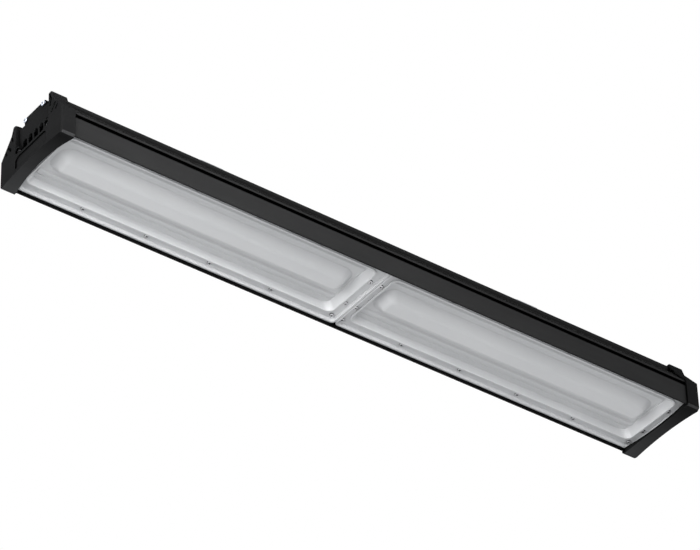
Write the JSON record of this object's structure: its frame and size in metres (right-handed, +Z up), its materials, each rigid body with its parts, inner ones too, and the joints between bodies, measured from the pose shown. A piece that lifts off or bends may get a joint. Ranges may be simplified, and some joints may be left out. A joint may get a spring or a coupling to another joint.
{
  "type": "linear light fixture",
  "caption": "Long black light fixture with a finned extruded body, frosted lens covers recessed underneath, moulded end caps and hanging straps on top.",
  "frame": {"origin": "middle of the fixture, at the level of the end caps' lower corners", "axes": "+X along the length, +Z up; the lit side looks down along -Z"},
  "size_m": [1.2, 0.1644, 0.1211],
  "materials": {
    "black_extrusion": "black anodised, satin",
    "black_moulding": "fine moulded texture",
    "frosted_cover": "frosted, diffusing",
    "grey_silicone": "soft, matt",
    "black_silicone": "soft, matt",
    "bare_aluminium": "mill finish",
    "stainless_screw": "stainless steel",
    "black_screw": "black coated steel",
    "zinc_screw": "zinc plated, bluish",
    "white_board": "white solder mask",
    "led_package": "phosphor in a white frame",
    "driver_case": "drawn case, satin",
    "pale_nylon": "moulded",
    "lead_jacket": "silicone jacket",
    "black_nylon": "moulded",
    "steel_strap": "bent sheet, zinc plated"
  },
  "bodies": {
    "root": {"housing": "black_extrusion", "driver_cover": "black_extrusion", "end_cap_left": "black_moulding", "end_cap_right": "black_moulding", "lens_cover_left": "frosted_cover", "lens_cover_right": "frosted_cover", "lens_gasket_left": "grey_silicone", "lens_gasket_right": "grey_silicone", "end_gasket_left": "black_silicone", "end_gasket_right": "black_silicone", "lead_grommets": "black_silicone", "gland_seal": "black_silicone", "centre_bar": "bare_aluminium", "end_bar_left": "bare_aluminium", "end_bar_right": "bare_aluminium", "driver_tray": "bare_aluminium", "lens_screws": "stainless_screw", "bar_screws": "stainless_screw", "board_screws": "stainless_screw", "cap_screws": "black_screw", "cover_screws": "black_screw", "driver_screws": "stainless_screw", "cover_end_screws": "zinc_screw", "led_board_left": "white_board", "led_board_right": "white_board", "led_chips_left": "led_package", "led_chips_right": "led_package", "driver_left": "driver_case", "driver_right": "driver_case", "terminal_block": "pale_nylon", "supply_leads": "lead_jacket", "board_lead_left": "lead_jacket", "board_lead_right": "lead_jacket", "gland_body": "black_nylon", "gland_dome_nut": "black_nylon", "gland_lock_nut": "black_nylon", "hanger_left": "steel_strap", "hanger_right": "steel_strap", "hanger_bolts": "zinc_screw", "hanger_nuts": "zinc_screw"}
  },
  "joints": []
}
